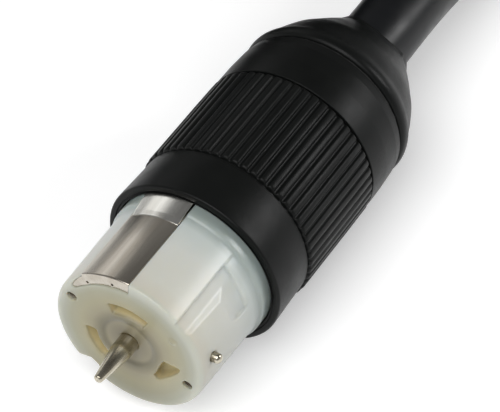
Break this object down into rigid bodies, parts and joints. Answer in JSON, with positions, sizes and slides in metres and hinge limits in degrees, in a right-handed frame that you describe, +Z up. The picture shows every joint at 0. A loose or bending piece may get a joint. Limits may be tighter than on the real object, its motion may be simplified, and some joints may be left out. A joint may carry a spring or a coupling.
{
  "type": "shore power cord",
  "caption": "Heavy shore power cord: ribbed black locking connector with a white contact nose, a coiled thick cord and a bladed plug with a pull handle.",
  "frame": {"origin": "on the floor under the middle of the connector's length, where the connector lies on its ribs", "axes": "+Y along the connector from its contact nose to its cord exit, +Z up, +X to the right seen from the nose"},
  "size_m": [0.393, 0.5375, 0.1347],
  "materials": {
    "black_body": "satin moulded black thermoplastic with fine mould texture",
    "seal_rubber": "matt black rubber",
    "nylon": "slightly translucent ivory nylon, satin gloss",
    "brass": "plain drawn brass",
    "nickel": "bright nickel plate",
    "steel": "zinc-plated steel",
    "block_plastic": "dark moulded plastic",
    "cord_jacket": "glossy black flexible jacket",
    "webbing": "black hook-and-loop webbing",
    "conductor_black": "black insulation",
    "conductor_red": "red insulation",
    "conductor_white": "white insulation",
    "conductor_green": "green insulation"
  },
  "bodies": {
    "cord_set": {"grip_housing": "black_body", "rear_boot": "black_body", "boot_gasket": "seal_rubber", "nose_body": "nylon", "line_contact_1": "brass", "line_contact_2": "brass", "neutral_contact": "brass", "ground_strip": "nickel", "ground_collar": "nickel", "guide_pin": "nickel", "guide_pin_nut": "steel", "guide_pin_washer": "steel", "detent_spring": "steel", "face_screw_1": "steel", "face_screw_2": "steel", "terminal_block": "block_plastic", "line_lug_1": "brass", "line_lug_2": "brass", "neutral_lug": "brass", "ground_lug": "brass", "terminal_screw_1": "steel", "terminal_screw_2": "steel", "terminal_screw_3": "steel", "conductor_black": "conductor_black", "conductor_red": "conductor_red", "conductor_white": "conductor_white", "conductor_green": "conductor_green", "cord_clamp_upper": "block_plastic", "cord_clamp_lower": "block_plastic", "cord_clamp_screw_left": "steel", "cord_clamp_screw_right": "steel", "cord_grommet": "seal_rubber", "cord_end": "cord_jacket", "cord_lead": "cord_jacket", "cord_coil": "cord_jacket", "cord_tail": "cord_jacket", "coil_tie_left": "webbing", "coil_tie_near": "webbing", "plug_strain_relief": "black_body", "plug_body": "black_body", "plug_face": "block_plastic", "plug_blade_line_1": "brass", "plug_blade_line_2": "brass", "plug_blade_neutral": "brass", "plug_ground_pin": "nickel", "plug_face_screw_left": "steel", "plug_face_screw_right": "steel", "handle_pivot_left": "steel", "handle_pivot_right": "steel"},
    "detent": {"detent_pin": "nickel"},
    "handle": {"plug_handle": "black_body"}
  },
  "joints": [
    {"name": "detent_slide", "type": "slide", "parent": "cord_set", "child": "detent", "axis": [-0.993, 0, -0.1184], "range_m": [0, 0.0016], "stiffness_N_per_m": 600, "springref_m": -0.002},
    {"name": "handle_hinge", "type": "hinge", "parent": "cord_set", "child": "handle", "pos_m": [-0.27619, 0.39177, 0.0994], "axis": [-0.0368, -0.9993, 0], "range_deg": [0, 100]}
  ]
}
